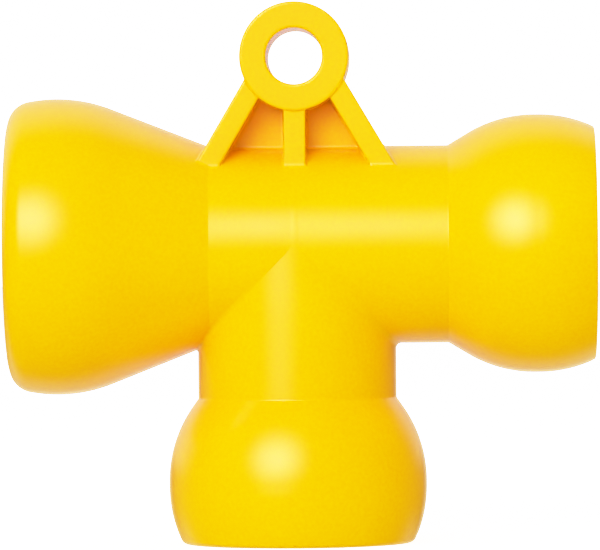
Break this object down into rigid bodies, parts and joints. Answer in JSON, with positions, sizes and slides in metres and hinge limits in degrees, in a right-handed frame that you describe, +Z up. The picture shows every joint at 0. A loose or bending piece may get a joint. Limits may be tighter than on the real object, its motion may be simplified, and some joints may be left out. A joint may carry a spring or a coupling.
{
  "type": "hose tee fitting",
  "caption": "Hose tee with a flared female socket, hollow ball ends on the run and the branch, and a cross-bored hanging eye on splayed legs.",
  "frame": {"origin": "where the axes of the run and the branch cross", "axes": "+X along the run towards its ball end (the socket opens at -X), -Z along the branch, +Z up through the hanging eye, eye's bore along Y"},
  "size_m": [0.07, 0.0354, 0.0645],
  "materials": {
    "yellow_plastic": "satin injection-moulded acetal, bright yellow all through, fine moulded grain, soft highlight"
  },
  "bodies": {
    "root": {"tee_body": "yellow_plastic", "inlet_socket": "yellow_plastic", "run_ball_end": "yellow_plastic", "branch_ball_end": "yellow_plastic", "hanger_bracket": "yellow_plastic"}
  },
  "joints": []
}
